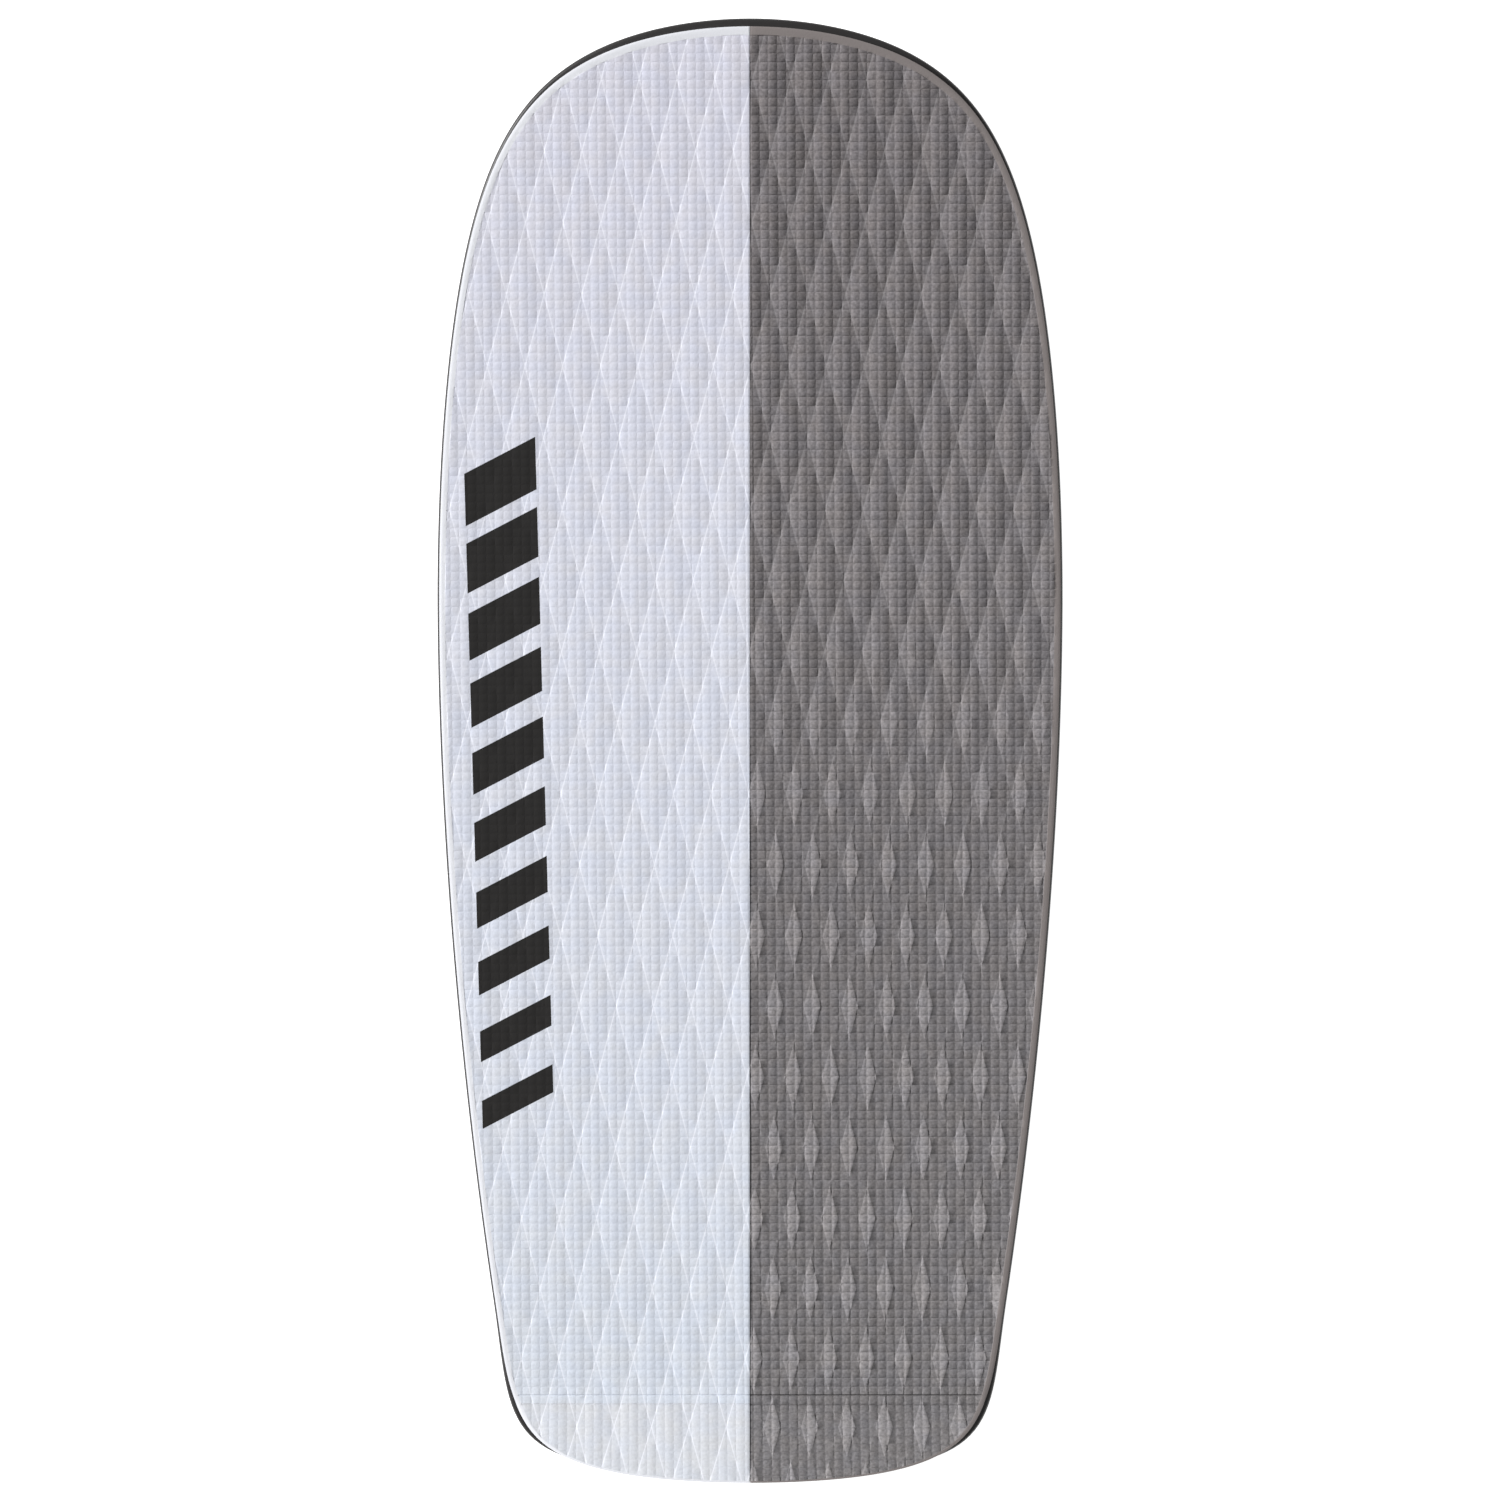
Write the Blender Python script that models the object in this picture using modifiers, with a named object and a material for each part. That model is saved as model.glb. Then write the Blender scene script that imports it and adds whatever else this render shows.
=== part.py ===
"""A short hydrofoil board, taken apart into the pieces it is built from. Metres, +Z up.

The board lies on its flat bottom with its nose towards +Y and its standing deck up.
The origin is the middle of the foil seat: the flat strip of the bottom between the two foil tracks.
Pieces that would touch keep GAP between them, and cutters reach OVERCUT past the faces they cut.
"""

from math import copysign, cos, pi, radians, sin, tan

import bmesh
import bpy
from mathutils import Matrix, Vector

GAP = 0.0003
MERGE_DISTANCE = 0.00001
OVERCUT = 0.005
SMOOTH_ANGLE = radians(35)

# Plan view of the board. A nose curve's control points are (half width, distance behind the nose),
# and a tail curve's are (half width, distance ahead of the tail), after the two that leave the side.
LENGTH = 1.120
SEAT_FROM_TAIL = 0.400
NOSE_Y = LENGTH - SEAT_FROM_TAIL
TAIL_Y = -SEAT_FROM_TAIL
HALF_WIDTH = 0.240
WIDEST_Y = NOSE_Y - 0.446
NOSE_CURVE = ((0, 0), (0.102, 0), (0.187, 0.040), (0.213, 0.080), (HALF_WIDTH, 0.235), (HALF_WIDTH, 0.446))
TAPER = 0.265
TAPER_POWER = 1.85
CORNER_Y = TAIL_Y + 0.136
CORNER_TANGENT = 0.098
TAIL_CURVE = ((0.195, 0.006), (0.105, 0), (0, 0))
NOSE_STEPS = 18
SIDE_STEPS = 10
CORNER_STEPS = 12

# Side view of the board
THICKNESS = 0.052
ROCKER_START_Y = 0.216
ROCKER_LIFT = 0.045
ROCKER_POWER = 2.2
DECK_RISE_START_Y = 0.300
DECK_RISE = 0.022
TAIL_THIN_START_Y = -0.165
TAIL_THIN = 0.008

# Rail section
DECK_EDGE_RADIUS = 0.003
DECK_EDGE_STEPS = 3
RAIL_APEX = 0.42
CHINE_WIDTH = 0.026
CHINE_POWER = 1.4
CHINE_STEPS = 5
SEAM_SHARE = 0.6

# Layers
SKIN = 0.0012
SHEET = 0.003
CORE_DEPTH = SKIN + GAP + SHEET + GAP
DECK_SHEET_INSET = 0.0034
BOTTOM_SHEET_INSET = CHINE_WIDTH + 0.004
CORE_STEP_INSET = BOTTOM_SHEET_INSET - 0.0012

# Deck pads and the kick at the tail
PAD = 0.005
PAD_SIDE_INSET = 0.0018
PAD_HALF_WIDTH = HALF_WIDTH - PAD_SIDE_INSET
PAD_NOSE_CURVE = (
    (0, 0.0065),
    (0.0995, 0.0065),
    (0.1845, 0.0425),
    (0.2115, 0.0815),
    (PAD_HALF_WIDTH, 0.235),
    (PAD_HALF_WIDTH, 0.446),
)
PAD_TAIL_CURVE = ((0.186, 0.012), (0.090, 0.0006), (0, 0.0006))
KICK_RUN = 0.057
KICK_ANGLE = radians(33)
CREASE_Y = TAIL_Y + KICK_RUN
WEDGE_TOE = 0.0020

# Foil tracks and their nuts
TRACK_X = 0.045
TRACK_LENGTH = 0.270
TRACK_WIDTH = 0.034
TRACK_DEPTH = 0.028
LIP = 0.005
THROAT_WIDTH = 0.0104
CHANNEL_WIDTH = 0.0206
CHANNEL_LENGTH = 0.236
CHANNEL_TOP = 0.012
CLEARANCE_WIDTH = 0.011
CLEARANCE_TOP = 0.024
WINDOW_LENGTH = 0.024
BOLT_SPACING_Y = 0.165
NUT_LENGTH = 0.022
NUT_WIDTH = 0.0196
NUT_HEIGHT = 0.0054
BOSS_LENGTH = 0.016
BOSS_WIDTH = 0.0096
BOSS_BOTTOM = 0.0015
NUT_HOLE_RADIUS = 0.0034
NUT_HOLE_STEPS = 24
SLOT_STEPS = 24

# Dense foam blocks that hold the tracks
BLOCK_WIDTH = 0.060
BLOCK_LENGTH = 0.316

# Vent in the bottom skin
VENT_Y = 0.180
VENT_STEPS = 36
FLANGE_RADIUS = 0.015
FLANGE_HEIGHT = 0.002
INSERT_RADIUS = 0.012
INSERT_TOP = 0.022
INSERT_ROOM = 0.004
SEAT_RADIUS = 0.0103
SEAT_TOP = 0.0058
THREAD_RADIUS = 0.0062
HEAD_RADIUS = 0.0099
HEAD_BOTTOM = 0.0003
HEAD_TOP = 0.0032
SHANK_RADIUS = 0.0058
SHANK_TOP = 0.0165
CHAMBER_RADIUS = 0.0042
CHAMBER_FLOOR = 0.0065
AIR_HOLE_RADIUS = 0.0009
SOCKET_RADIUS = 0.0034
SOCKET_TOP = 0.0022
SOCKET_SIDES = 6
RING_RADIUS = 0.0074
RING_SECTION = 0.0010
RING_SECTION_STEPS = 10
MEMBRANE_RADIUS = 0.0038
MEMBRANE_HEIGHT = 0.0004
RETAINER_HOLE_RADIUS = 0.0026
RETAINER_HEIGHT = 0.0016

# Colour, roughness and metallic share of each material
MATERIALS = {
    "gloss_black_laminate": ((0.021, 0.019, 0.019), 0.35, 0.0),
    "light_grey_eva": ((0.66, 0.67, 0.75), 0.85, 0.0),
    "dark_grey_eva": ((0.19, 0.18, 0.185), 0.85, 0.0),
    "yellow_pvc_foam": ((0.72, 0.60, 0.30), 0.8, 0.0),
    "white_eps_foam": ((0.86, 0.87, 0.88), 0.8, 0.0),
    "dense_foam": ((0.45, 0.50, 0.38), 0.8, 0.0),
    "black_nylon": ((0.03, 0.03, 0.03), 0.5, 0.0),
    "stainless_steel": ((0.60, 0.60, 0.58), 0.3, 1.0),
    "brass": ((0.72, 0.52, 0.22), 0.3, 1.0),
    "black_rubber": ((0.02, 0.02, 0.02), 0.7, 0.0),
    "white_membrane": ((0.85, 0.85, 0.83), 0.9, 0.0),
}


def clear_scene():
    for thing in list(bpy.data.objects):
        bpy.data.objects.remove(thing, do_unlink=True)


def new_collection(name):
    collection = bpy.data.collections.new(name)
    bpy.context.scene.collection.children.link(collection)
    return collection


def new_material(name, colour, roughness, metallic):
    material = bpy.data.materials.new(name)
    material.use_nodes = True
    shader = material.node_tree.nodes["Principled BSDF"]
    shader.inputs["Base Color"].default_value = (*colour, 1.0)
    shader.inputs["Roughness"].default_value = roughness
    shader.inputs["Metallic"].default_value = metallic
    return material


def new_object(name, bm, collection, material=None):
    """Turns bm into an object whose origin is the world's."""
    bmesh.ops.recalc_face_normals(bm, faces=bm.faces)
    mesh = bpy.data.meshes.new(name)
    bm.to_mesh(mesh)
    bm.free()
    piece = bpy.data.objects.new(name, mesh)
    collection.objects.link(piece)
    if material:
        mesh.materials.append(material)
    else:
        piece.hide_render = True
        piece.display_type = "WIRE"
    return piece


def cut(piece, *tools, operation="DIFFERENCE"):
    for tool in tools:
        boolean = piece.modifiers.new(f"{operation.lower()}_{tool.name}", "BOOLEAN")
        boolean.operation = operation
        boolean.object = tool


def smooth(piece):
    piece.data.shade_smooth()
    piece.data.set_sharp_from_angle(angle=SMOOTH_ANGLE)


# The board's lines


def deck_z(y):
    """Height of the deck skin: level under the feet, lifted at the nose and thinned at the tail."""
    if y > DECK_RISE_START_Y:
        along = (y - DECK_RISE_START_Y) / (NOSE_Y - DECK_RISE_START_Y)
        return THICKNESS + DECK_RISE * along**2
    if y < TAIL_THIN_START_Y:
        along = (TAIL_THIN_START_Y - y) / (TAIL_THIN_START_Y - TAIL_Y)
        return THICKNESS - TAIL_THIN * along**2
    return THICKNESS


def bottom_z(y):
    """Height of the bottom: flat, with the rocker in front."""
    if y < ROCKER_START_Y:
        return 0.0
    along = (y - ROCKER_START_Y) / (NOSE_Y - ROCKER_START_Y)
    return ROCKER_LIFT * along**ROCKER_POWER


def kick(y):
    """How far the kick lifts the pads above the deck."""
    return max(0.0, CREASE_Y - y) * tan(KICK_ANGLE)


def superellipse(step, steps, power):
    """(across, along) of a quarter of a superellipse of unit size, on evenly turned rays."""
    angle = radians(90) * step / steps
    across, along = sin(angle), cos(angle)
    if step == steps:
        along = 0.0
    radius = (across**power + along**power) ** (-1 / power)
    return across * radius, along * radius


def bezier(points, share):
    """The point at `share` of the way along a Bezier curve with any number of control points."""
    points = [Vector(point) for point in points]
    while len(points) > 1:
        points = [start.lerp(end, share) for start, end in zip(points, points[1:])]
    return points[0]


def half_width(y):
    """Half the board's width between its widest point and the tail corners."""
    along = (WIDEST_Y - y) / (WIDEST_Y - TAIL_Y)
    return HALF_WIDTH * (1 - TAPER * along**TAPER_POWER)


def side_line(nose_curve=NOSE_CURVE, tail_curve=TAIL_CURVE, side_inset=0.0):
    """Points (x, y) down the right side, from the middle of the nose to the middle of the tail."""
    nose = [(x, NOSE_Y - behind) for x, behind in nose_curve]
    points = [bezier(nose, step / NOSE_STEPS) for step in range(NOSE_STEPS)]
    for step in range(SIDE_STEPS):
        y = WIDEST_Y + (CORNER_Y - WIDEST_Y) * step / SIDE_STEPS
        points.append(Vector((half_width(y) - side_inset, y)))
    slope = (half_width(CORNER_Y) - half_width(CORNER_Y + GAP)) / GAP
    corner_x = half_width(CORNER_Y) - side_inset
    leaving = (corner_x + slope * CORNER_TANGENT, CORNER_Y - CORNER_TANGENT)
    tail = [(x, TAIL_Y + ahead) for x, ahead in tail_curve]
    corner = [(corner_x, CORNER_Y), leaving, *tail]
    return points + [bezier(corner, step / CORNER_STEPS) for step in range(CORNER_STEPS + 1)]


def inward(points):
    """For each point but the first and last, the step that moves it one metre to the right of the
    path while both its edges stay parallel to themselves."""
    steps = []
    for before, here, after in zip(points, points[1:], points[2:]):
        normals = []
        for direction in ((here - before).normalized(), (after - here).normalized()):
            normals.append(Vector((direction.y, -direction.x)))
        total = normals[0] + normals[1]
        steps.append(total / (1 + normals[0].dot(normals[1])))
    return steps


def mirrored(point):
    return Vector((-point.x, point.y))


def inset_side(side, inset):
    """The side line moved inwards by inset, square to itself."""
    closed = [mirrored(side[1]), *side, mirrored(side[-2])]
    return [point + step * inset for point, step in zip(side, inward(closed))]


def rail_profile(height, skin=0.0):
    """(inset, drop) pairs round the rail where the board is `height` thick: over the deck's edge, down
    the upright rail and along the chine to the flat bottom, `skin` inside the outer surface."""
    points = []
    for step in range(DECK_EDGE_STEPS + 1):
        angle = radians(90) * step / DECK_EDGE_STEPS
        points.append(Vector((1 - sin(angle), 1 - cos(angle))) * DECK_EDGE_RADIUS)
    apex = RAIL_APEX * height
    for step in range(CHINE_STEPS + 1):
        down, out = superellipse(step, CHINE_STEPS, CHINE_POWER)
        points.append(Vector((CHINE_WIDTH * (1 - out), apex + (height - apex) * down)))
    before = points[0] + Vector((1, 0))
    after = points[-1] + Vector((1, 0))
    steps = inward([before, *points, after])
    return [point + step * skin for point, step in zip(points, steps)]


def hull_rings(skin=0.0):
    """Right-hand points of the rings round the rail, one ring for each profile point."""
    side = side_line()
    steps = inward([mirrored(side[1]), *side, mirrored(side[-2])])
    columns = []
    for point, step in zip(side, steps):
        height = deck_z(point.y) - bottom_z(point.y)
        column = []
        for inset, drop in rail_profile(height, skin):
            place = point + step * inset
            share = drop / height
            z = deck_z(place.y) * (1 - share) + bottom_z(place.y) * share
            column.append(Vector((place.x, place.y, z)))
        columns.append(column)
    return [list(ring) for ring in zip(*columns)]


def loop_vertices(bm, right):
    """A closed loop of vertices: down the right side and back up the mirrored left side."""
    left = [Vector((-point.x, point.y, point.z)) for point in right[-2:0:-1]]
    return [bm.verts.new(point) for point in right + left]


def bridge(bm, upper, lower):
    for index in range(len(upper)):
        following = (index + 1) % len(upper)
        bm.faces.new((upper[index], upper[following], lower[following], lower[index]))


def cap(bm, loop):
    """Closes a mirrored loop with strips that run straight across the board."""
    count = len(loop)
    half = count // 2
    bm.faces.new((loop[0], loop[1], loop[-1]))
    for index in range(1, half - 1):
        bm.faces.new((loop[index], loop[index + 1], loop[count - index - 1], loop[count - index]))
    bm.faces.new((loop[half - 1], loop[half], loop[half + 1]))


def hull_loft(rings, caps):
    """A loft through the rings, closed across the first and last of `caps`."""
    bm = bmesh.new()
    loops = [loop_vertices(bm, ring) for ring in rings]
    for upper, lower in zip(loops, loops[1:]):
        bridge(bm, upper, lower)
    for index in caps:
        cap(bm, loops[index])
    return bm


def sheet(side, top_z, bottom_z_of, left_x=None):
    """A sheet with upright edges inside `side`, between two heights that depend on y only.
    It is as wide as the board, or it runs from left_x to the right-hand side."""
    bm = bmesh.new()
    rows = []
    for point in side:
        start = -point.x if left_x is None else left_x
        z = top_z(point.y)
        rows.append([bm.verts.new((x, point.y, z)) for x in (start, point.x)])
    for row, following in zip(rows, rows[1:]):
        bm.faces.new((row[0], row[1], following[1], following[0]))
    bmesh.ops.remove_doubles(bm, verts=bm.verts, dist=MERGE_DISTANCE)
    lowered = bmesh.ops.extrude_face_region(bm, geom=list(bm.faces), use_keep_orig=True)
    for item in lowered["geom"]:
        if isinstance(item, bmesh.types.BMVert):
            item.co.z = bottom_z_of(item.co.y)
    return bm


# Simple solids


def block(width, length, low, high):
    """A box centred on the Z axis, between two heights."""
    bm = bmesh.new()
    size = Matrix.Diagonal((width, length, high - low, 1))
    bmesh.ops.create_cube(bm, size=1, matrix=Matrix.Translation((0, 0, (low + high) / 2)) @ size)
    return bm


def prism(radius, low, high, segments=VENT_STEPS):
    bm = bmesh.new()
    middle = Matrix.Translation((0, 0, (low + high) / 2))
    bmesh.ops.create_cone(
        bm,
        cap_ends=True,
        segments=segments,
        radius1=radius,
        radius2=radius,
        depth=high - low,
        matrix=middle @ Matrix.Rotation(pi / segments, 4, "Z"),
    )
    return bm


def slot(width, length, low, high):
    """A bar with half-round ends, along Y."""
    bm = prism(width / 2, low, high, SLOT_STEPS)
    for vertex in bm.verts:
        vertex.co.y += copysign((length - width) / 2, vertex.co.y)
    return bm


def turned(points, closed):
    """A profile of (radius, z) points, to be turned round Z by a Screw modifier."""
    bm = bmesh.new()
    vertices = [bm.verts.new((radius, 0, z)) for radius, z in points]
    for start, end in zip(vertices, vertices[1:]):
        bm.edges.new((start, end))
    if closed:
        bm.edges.new((vertices[-1], vertices[0]))
    return bm


def turn(piece):
    screw = piece.modifiers.new("turn", "SCREW")
    screw.steps = VENT_STEPS
    screw.render_steps = VENT_STEPS
    screw.use_merge_vertices = True
    screw.merge_threshold = MERGE_DISTANCE


# The board's own pieces


def make_shells(parts, material):
    """Laminated deck and bottom skins, which meet at the rail's upright part."""
    rings = hull_rings()
    upper_rings = rings[: DECK_EDGE_STEPS + 1]
    lower_rings = rings[DECK_EDGE_STEPS + 1 :]
    seam = [high.lerp(low, SEAM_SHARE) for high, low in zip(upper_rings[-1], lower_rings[0])]
    half_gap = Vector((0, 0, GAP / 2))
    upper_rings.append([point + half_gap for point in seam])
    lower_rings.insert(0, [point - half_gap for point in seam])
    deck = new_object("deck_shell", hull_loft(upper_rings, [0]), parts, material)
    bottom = new_object("bottom_shell", hull_loft(lower_rings, [-1]), parts, material)
    for shell in (deck, bottom):
        skin = shell.modifiers.new("laminate", "SOLIDIFY")
        skin.thickness = SKIN
        skin.offset = -1
        skin.use_even_offset = True
        smooth(shell)
    return deck, bottom


def make_sheets(parts, material):
    """Stiff foam sheets bonded under both skins."""
    side = side_line()

    def under_deck(depth):
        return lambda y: deck_z(y) - depth

    def over_bottom(height):
        return lambda y: bottom_z(y) + height

    top = SKIN + GAP
    deck_sheet = sheet(inset_side(side, DECK_SHEET_INSET), under_deck(top), under_deck(top + SHEET))
    bottom_sheet = sheet(inset_side(side, BOTTOM_SHEET_INSET), over_bottom(top + SHEET), over_bottom(top))
    new_object("deck_sandwich_sheet", deck_sheet, parts, material)
    return new_object("bottom_sandwich_sheet", bottom_sheet, parts, material)


def make_core(parts, material):
    """The light foam blank: a skin's depth inside the rails, and lowered where the sheets lie."""
    rings = hull_rings(SKIN + GAP)
    sunk = CORE_DEPTH - SKIN - GAP
    for ring in (rings[0], rings[1]):
        for point in ring:
            point.z = deck_z(point.y) - CORE_DEPTH
    for ring in (rings[2], rings[3]):
        for point in ring:
            point.z -= sunk
    step_in = inset_side(side_line(), CORE_STEP_INSET)
    floor = [Vector((point.x, point.y, bottom_z(point.y) + CORE_DEPTH)) for point in step_in]
    return new_object("foam_core", hull_loft([rings[0], *rings[2:], floor], [0, -1]), parts, material)


def pad_side():
    """The pads' outline from nose to tail, with a point on the crease at the foot of the kick."""
    side = side_line(PAD_NOSE_CURVE, PAD_TAIL_CURVE, PAD_SIDE_INSET)
    for end in (side[0], side[-1]):
        end.x = GAP
    after = next(index for index, point in enumerate(side) if point.y < CREASE_Y)
    share = (side[after - 1].y - CREASE_Y) / (side[after - 1].y - side[after].y)
    side.insert(after, side[after - 1].lerp(side[after], share))
    return side


def make_pads(parts, light, dark):
    """The two halves of the deck pad: one sheet each from nose to tail, bent up over the kick."""

    def underside(y):
        return deck_z(y) + GAP + kick(y)

    def top(y):
        return underside(y) + PAD

    for name, material, direction in (("deck_pad_left", light, -1), ("deck_pad_right", dark, 1)):
        bm = sheet(pad_side(), top, underside, GAP / 2)
        bm.transform(Matrix.Diagonal((direction, 1, 1, 1)))
        new_object(name, bm, parts, material)


def make_kick_wedge(parts, material):
    """The foam wedge under the pads that makes the kick. It starts WEDGE_TOE thick."""

    def top(y):
        return deck_z(y) + kick(y)

    def underside(y):
        return deck_z(y) + GAP

    toe_y = CREASE_Y - (WEDGE_TOE + GAP) / tan(KICK_ANGLE)
    behind = [point for point in pad_side() if point.y < toe_y]
    toe = Vector((behind[0].x, toe_y))
    new_object("kick_wedge", sheet([toe, *behind], top, underside), parts, material)


def make_blocks(parts, tools, material):
    """Dense foam blocks between the bottom and deck sheets, one round each track."""
    for name, x in (("left", -TRACK_X), ("right", TRACK_X)):
        bm = block(BLOCK_WIDTH, BLOCK_LENGTH, CORE_DEPTH, THICKNESS - CORE_DEPTH)
        piece = new_object(f"track_block_{name}", bm, parts, material)
        piece.location.x = x
        pocket = slot(TRACK_WIDTH + 2 * GAP, TRACK_LENGTH + 2 * GAP, 0, TRACK_DEPTH + GAP)
        tool = new_object(f"track_pocket_{name}", pocket, tools)
        tool.location.x = x
        cut(piece, tool)


def make_tracks(parts, tools, material):
    """Moulded tracks: a T-shaped channel with a window in the middle, where the nuts go in."""
    for name, x in (("left", -TRACK_X), ("right", TRACK_X)):
        body = slot(TRACK_WIDTH, TRACK_LENGTH, 0, TRACK_DEPTH)
        track = new_object(f"foil_track_{name}", body, parts, material)
        track.location.x = x
        throat_length = CHANNEL_LENGTH - CHANNEL_WIDTH + THROAT_WIDTH
        shapes = {
            "throat": slot(THROAT_WIDTH, throat_length, -OVERCUT, CHANNEL_TOP - GAP),
            "channel": slot(CHANNEL_WIDTH, CHANNEL_LENGTH, LIP, CHANNEL_TOP),
            "clearance": slot(CLEARANCE_WIDTH, throat_length, CHANNEL_TOP - GAP, CLEARANCE_TOP),
            "window": block(CHANNEL_WIDTH - GAP, WINDOW_LENGTH, -OVERCUT, LIP + GAP),
        }
        for shape, bm in shapes.items():
            tool = new_object(f"track_{shape}_{name}", bm, tools)
            tool.location.x = x
            cut(track, tool)


def make_nuts(parts, tools, material):
    """Four T-nuts with their bosses in the throat; each slides along its track."""
    bottom = LIP + GAP
    for end, y in (("front", BOLT_SPACING_Y / 2), ("rear", -BOLT_SPACING_Y / 2)):
        for name, x in (("left", -TRACK_X), ("right", TRACK_X)):
            plate = block(NUT_WIDTH, NUT_LENGTH, bottom, bottom + NUT_HEIGHT)
            nut = new_object(f"track_nut_{end}_{name}", plate, parts, material)
            boss = new_object(
                f"boss_{end}_{name}",
                block(BOSS_WIDTH, BOSS_LENGTH, BOSS_BOTTOM, bottom + NUT_HEIGHT / 2),
                tools,
            )
            bore = prism(NUT_HOLE_RADIUS, 0, LIP + 2 * NUT_HEIGHT, NUT_HOLE_STEPS)
            hole = new_object(f"nut_hole_{end}_{name}", bore, tools)
            for item in (nut, boss, hole):
                item.location = (x, y, 0)
            cut(nut, boss, operation="UNION")
            cut(nut, hole)


# The vent


def make_vent(parts, tools, plastic, brass, rubber, white):
    """A threaded insert and a screw plug that breathes through a membrane."""
    axis = bpy.data.objects.new("vent_axis", None)
    parts.objects.link(axis)
    axis.location.y = VENT_Y
    insert_profile = [
        (INSERT_RADIUS, INSERT_TOP),
        (INSERT_RADIUS, FLANGE_HEIGHT),
        (FLANGE_RADIUS, FLANGE_HEIGHT),
        (FLANGE_RADIUS, 0),
        (SEAT_RADIUS, 0),
        (SEAT_RADIUS, SEAT_TOP),
        (THREAD_RADIUS, SEAT_TOP),
        (THREAD_RADIUS, INSERT_TOP),
    ]
    plug_profile = [
        (CHAMBER_RADIUS, SHANK_TOP),
        (SHANK_RADIUS, SHANK_TOP),
        (SHANK_RADIUS, HEAD_TOP),
        (HEAD_RADIUS, HEAD_TOP),
        (HEAD_RADIUS, HEAD_BOTTOM),
        (AIR_HOLE_RADIUS, HEAD_BOTTOM),
        (AIR_HOLE_RADIUS, CHAMBER_FLOOR),
        (CHAMBER_RADIUS, CHAMBER_FLOOR),
    ]
    ring_low = CHAMBER_FLOOR + 2 * GAP + MEMBRANE_HEIGHT
    retainer_profile = [
        (MEMBRANE_RADIUS, ring_low + RETAINER_HEIGHT),
        (MEMBRANE_RADIUS, ring_low),
        (RETAINER_HOLE_RADIUS, ring_low),
        (RETAINER_HOLE_RADIUS, ring_low + RETAINER_HEIGHT),
    ]
    ring_z = HEAD_TOP + GAP + RING_SECTION
    ring_profile = []
    for step in range(RING_SECTION_STEPS):
        angle = 2 * pi * step / RING_SECTION_STEPS
        radius = RING_RADIUS + RING_SECTION * sin(angle)
        ring_profile.append((radius, ring_z + RING_SECTION * cos(angle)))
    insert = new_object("vent_insert", turned(insert_profile, True), parts, brass)
    plug = new_object("vent_plug", turned(plug_profile, True), parts, plastic)
    seal = new_object("vent_seal_ring", turned(ring_profile, True), parts, rubber)
    retainer = new_object("membrane_retainer", turned(retainer_profile, True), parts, plastic)
    for piece in (insert, plug, seal, retainer):
        turn(piece)
        smooth(piece)
    low = CHAMBER_FLOOR + GAP
    membrane = new_object("vent_membrane", prism(MEMBRANE_RADIUS, low, low + MEMBRANE_HEIGHT), parts, white)
    hexagon = prism(SOCKET_RADIUS, -SOCKET_TOP, SOCKET_TOP, SOCKET_SIDES)
    socket = new_object("plug_socket", hexagon, tools)
    cut(plug, socket)
    for piece in (insert, plug, seal, retainer, membrane, socket):
        piece.parent = axis


def open_bottom(bottom_shell, bottom_sheet, core, tools):
    """Cut-outs in the bottom for the tracks and the vent, and pockets for them in the foam."""
    for name, x in (("left", -TRACK_X), ("right", TRACK_X)):
        opening = slot(TRACK_WIDTH + 2 * GAP, TRACK_LENGTH + 2 * GAP, -OVERCUT, CORE_DEPTH + OVERCUT)
        tool = new_object(f"track_opening_{name}", opening, tools)
        tool.location.x = x
        cut(bottom_shell, tool)
        cut(bottom_sheet, tool)
        room = block(BLOCK_WIDTH + 2 * GAP, BLOCK_LENGTH + 2 * GAP, -OVERCUT, THICKNESS + OVERCUT)
        pocket = new_object(f"block_pocket_{name}", room, tools)
        pocket.location.x = x
        cut(core, pocket)
    bore = prism(FLANGE_RADIUS + GAP, -OVERCUT, INSERT_TOP + INSERT_ROOM)
    vent_bore = new_object("vent_bore", bore, tools)
    vent_bore.location.y = VENT_Y
    for piece in (bottom_shell, bottom_sheet, core):
        cut(piece, vent_bore)


def build():
    clear_scene()
    parts = new_collection("hydrofoil_board")
    tools = new_collection("cutters")
    made = {name: new_material(name, *values) for name, values in MATERIALS.items()}
    deck_shell, bottom_shell = make_shells(parts, made["gloss_black_laminate"])
    bottom_sheet = make_sheets(parts, made["yellow_pvc_foam"])
    core = make_core(parts, made["white_eps_foam"])
    make_pads(parts, made["light_grey_eva"], made["dark_grey_eva"])
    make_kick_wedge(parts, made["dark_grey_eva"])
    make_blocks(parts, tools, made["dense_foam"])
    make_tracks(parts, tools, made["black_nylon"])
    make_nuts(parts, tools, made["stainless_steel"])
    make_vent(
        parts,
        tools,
        plastic=made["black_nylon"],
        brass=made["brass"],
        rubber=made["black_rubber"],
        white=made["white_membrane"],
    )
    open_bottom(bottom_shell, bottom_sheet, core, tools)


build()
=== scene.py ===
# Looks of a short hydrofoil board: its hull and grooved deck pads at full detail, the materials of every
# piece, the studio and the camera. Metres, +Z up, +Y to the nose, +X to the dark half of the deck.

from math import ceil, copysign, cos, floor, radians, sin, tan

import bmesh
import bpy
import numpy as np
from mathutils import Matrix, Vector
from mathutils.geometry import delaunay_2d_cdt


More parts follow.
